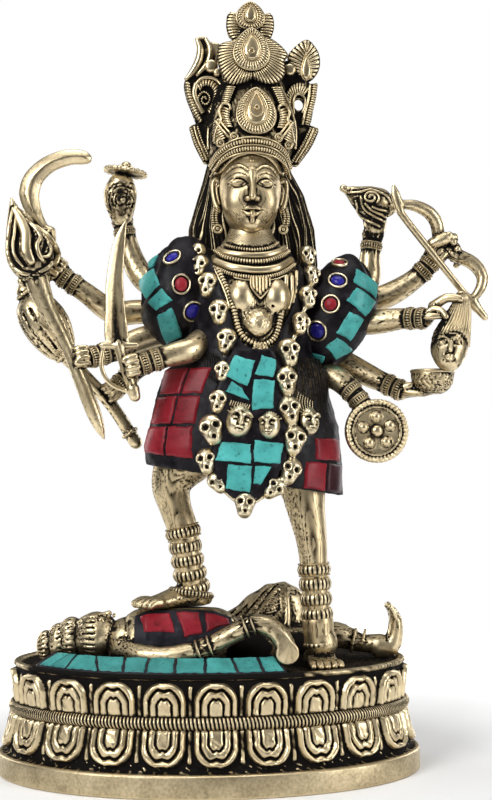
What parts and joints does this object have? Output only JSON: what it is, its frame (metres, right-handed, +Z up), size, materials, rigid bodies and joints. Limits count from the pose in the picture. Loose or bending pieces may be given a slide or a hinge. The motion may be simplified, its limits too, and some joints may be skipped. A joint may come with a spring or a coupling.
{
  "type": "inlaid brass figure",
  "caption": "Cast brass many-armed standing figure on a reclining figure and an oval lotus base, with turquoise and coral tile inlay, for display on a shelf or altar.",
  "frame": {"origin": "middle of the base's flat underside", "axes": "+Z up, the figure faces -Y, +X to the viewer's right"},
  "size_m": [0.2031, 0.1074, 0.3195],
  "materials": {
    "brass": "antiqued satin brass, black in the recesses",
    "turquoise": "cut turquoise-coloured tile, satin, set in black resin",
    "coral": "cut coral-coloured tile, satin, set in black resin",
    "lapis": "deep blue domed stone, half gloss"
  },
  "bodies": {
    "root": {"lotus_base": "brass", "reclining_figure": "brass", "standing_figure": "brass", "coral_dress_left_1": "coral", "coral_dress_left_2": "coral", "coral_dress_left_3": "coral", "coral_dress_left_4": "coral", "coral_dress_left_5": "coral", "coral_dress_left_6": "coral", "coral_dress_right_1": "coral", "coral_dress_right_2": "coral", "coral_dress_right_3": "coral", "turquoise_apron_1": "turquoise", "turquoise_apron_2": "turquoise", "turquoise_apron_3": "turquoise", "turquoise_apron_4": "turquoise", "turquoise_apron_5": "turquoise", "turquoise_apron_6": "turquoise", "turquoise_apron_7": "turquoise", "turquoise_apron_8": "turquoise", "turquoise_shoulder_left_1": "turquoise", "turquoise_shoulder_left_2": "turquoise", "turquoise_shoulder_left_3": "turquoise", "turquoise_shoulder_left_4": "turquoise", "turquoise_shoulder_right_1": "turquoise", "turquoise_shoulder_right_2": "turquoise", "turquoise_shoulder_right_3": "turquoise", "turquoise_shoulder_right_4": "turquoise", "turquoise_shoulder_right_5": "turquoise", "coral_chest_1": "coral", "coral_chest_2": "coral", "coral_chest_3": "coral", "turquoise_bank_1": "turquoise", "turquoise_bank_2": "turquoise", "turquoise_bank_3": "turquoise", "turquoise_bank_4": "turquoise", "turquoise_bank_5": "turquoise", "turquoise_bank_6": "turquoise", "turquoise_bank_7": "turquoise", "turquoise_bank_8": "turquoise", "turquoise_bank_9": "turquoise", "turquoise_bank_10": "turquoise", "stone_left_1": "lapis", "stone_left_2": "coral", "stone_left_3": "lapis", "stone_right_1": "coral", "stone_right_2": "lapis", "stone_right_3": "coral", "stone_right_4": "lapis"}
  },
  "joints": []
}
